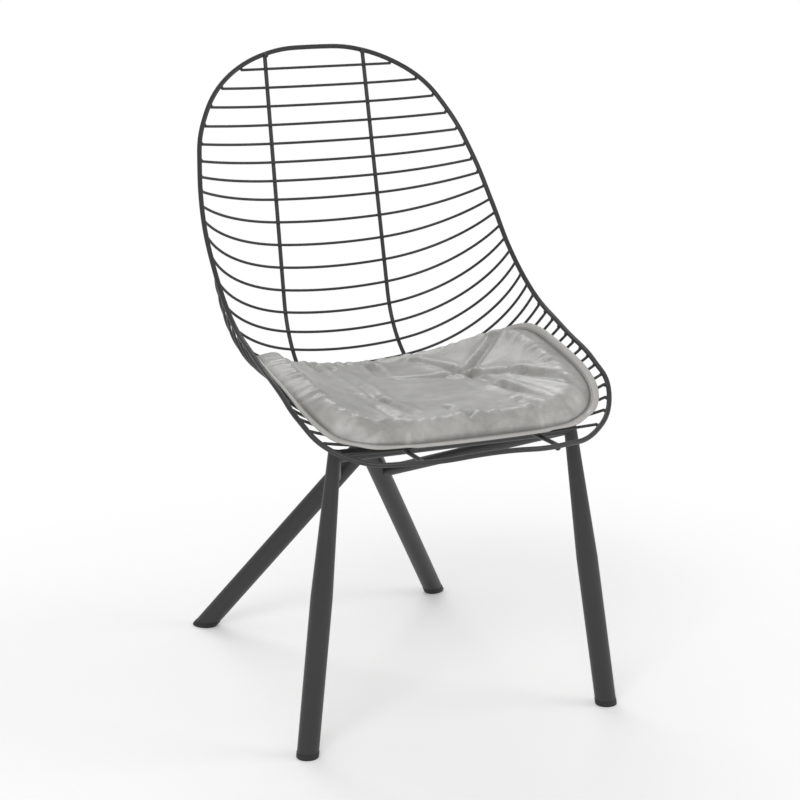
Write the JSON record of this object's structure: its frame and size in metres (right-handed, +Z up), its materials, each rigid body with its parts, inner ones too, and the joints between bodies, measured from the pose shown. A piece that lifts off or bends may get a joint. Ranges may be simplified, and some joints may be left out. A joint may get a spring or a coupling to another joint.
{
  "type": "wire mesh chair",
  "caption": "Dining chair with a curved wire mesh bucket on splayed tube legs, and a loose padded seat cushion that lifts off.",
  "frame": {"origin": "middle of the footprint on the floor", "axes": "+Z up, the sitter faces -Y, +X to the right seen from the front"},
  "size_m": [0.4886, 0.6532, 0.8955],
  "materials": {
    "frame_coating": "satin black powder coat",
    "glide_plastic": "matt black",
    "cushion_leather": "light grey mottled, semi-gloss"
  },
  "bodies": {
    "frame": {"rim_rod": "frame_coating", "upright_left": "frame_coating", "upright_right": "frame_coating", "cross_wire_01": "frame_coating", "cross_wire_02": "frame_coating", "cross_wire_03": "frame_coating", "cross_wire_04": "frame_coating", "cross_wire_05": "frame_coating", "cross_wire_06": "frame_coating", "cross_wire_07": "frame_coating", "cross_wire_08": "frame_coating", "cross_wire_09": "frame_coating", "cross_wire_10": "frame_coating", "cross_wire_11": "frame_coating", "cross_wire_12": "frame_coating", "cross_wire_13": "frame_coating", "cross_wire_14": "frame_coating", "cross_wire_15": "frame_coating", "cross_wire_16": "frame_coating", "cross_wire_17": "frame_coating", "cross_wire_18": "frame_coating", "cross_wire_19": "frame_coating", "cross_wire_20": "frame_coating", "cross_wire_21": "frame_coating", "cross_wire_22": "frame_coating", "cross_wire_23": "frame_coating", "cross_wire_24": "frame_coating", "cross_wire_25": "frame_coating", "cross_wire_26": "frame_coating", "cross_wire_27": "frame_coating", "cross_wire_28": "frame_coating", "cross_wire_29": "frame_coating", "cross_wire_30": "frame_coating", "cross_wire_31": "frame_coating", "cross_wire_32": "frame_coating", "front_leg_left": "frame_coating", "front_leg_right": "frame_coating", "rear_leg_left": "frame_coating", "rear_leg_right_lower": "frame_coating", "rear_leg_right_upper": "frame_coating", "side_tube_left": "frame_coating", "side_tube_right": "frame_coating", "front_crossbar": "frame_coating", "rear_crossbar": "frame_coating", "rear_bar_caps": "glide_plastic", "glide_front_left": "glide_plastic", "glide_front_right": "glide_plastic", "glide_rear_left": "glide_plastic", "glide_rear_right": "glide_plastic"},
    "cushion": {"seat_cushion": "cushion_leather"}
  },
  "joints": [
    {"name": "cushion_lift", "type": "slide", "parent": "frame", "child": "cushion", "axis": [0, 0, 1], "range_m": [0, 0.3]}
  ]
}
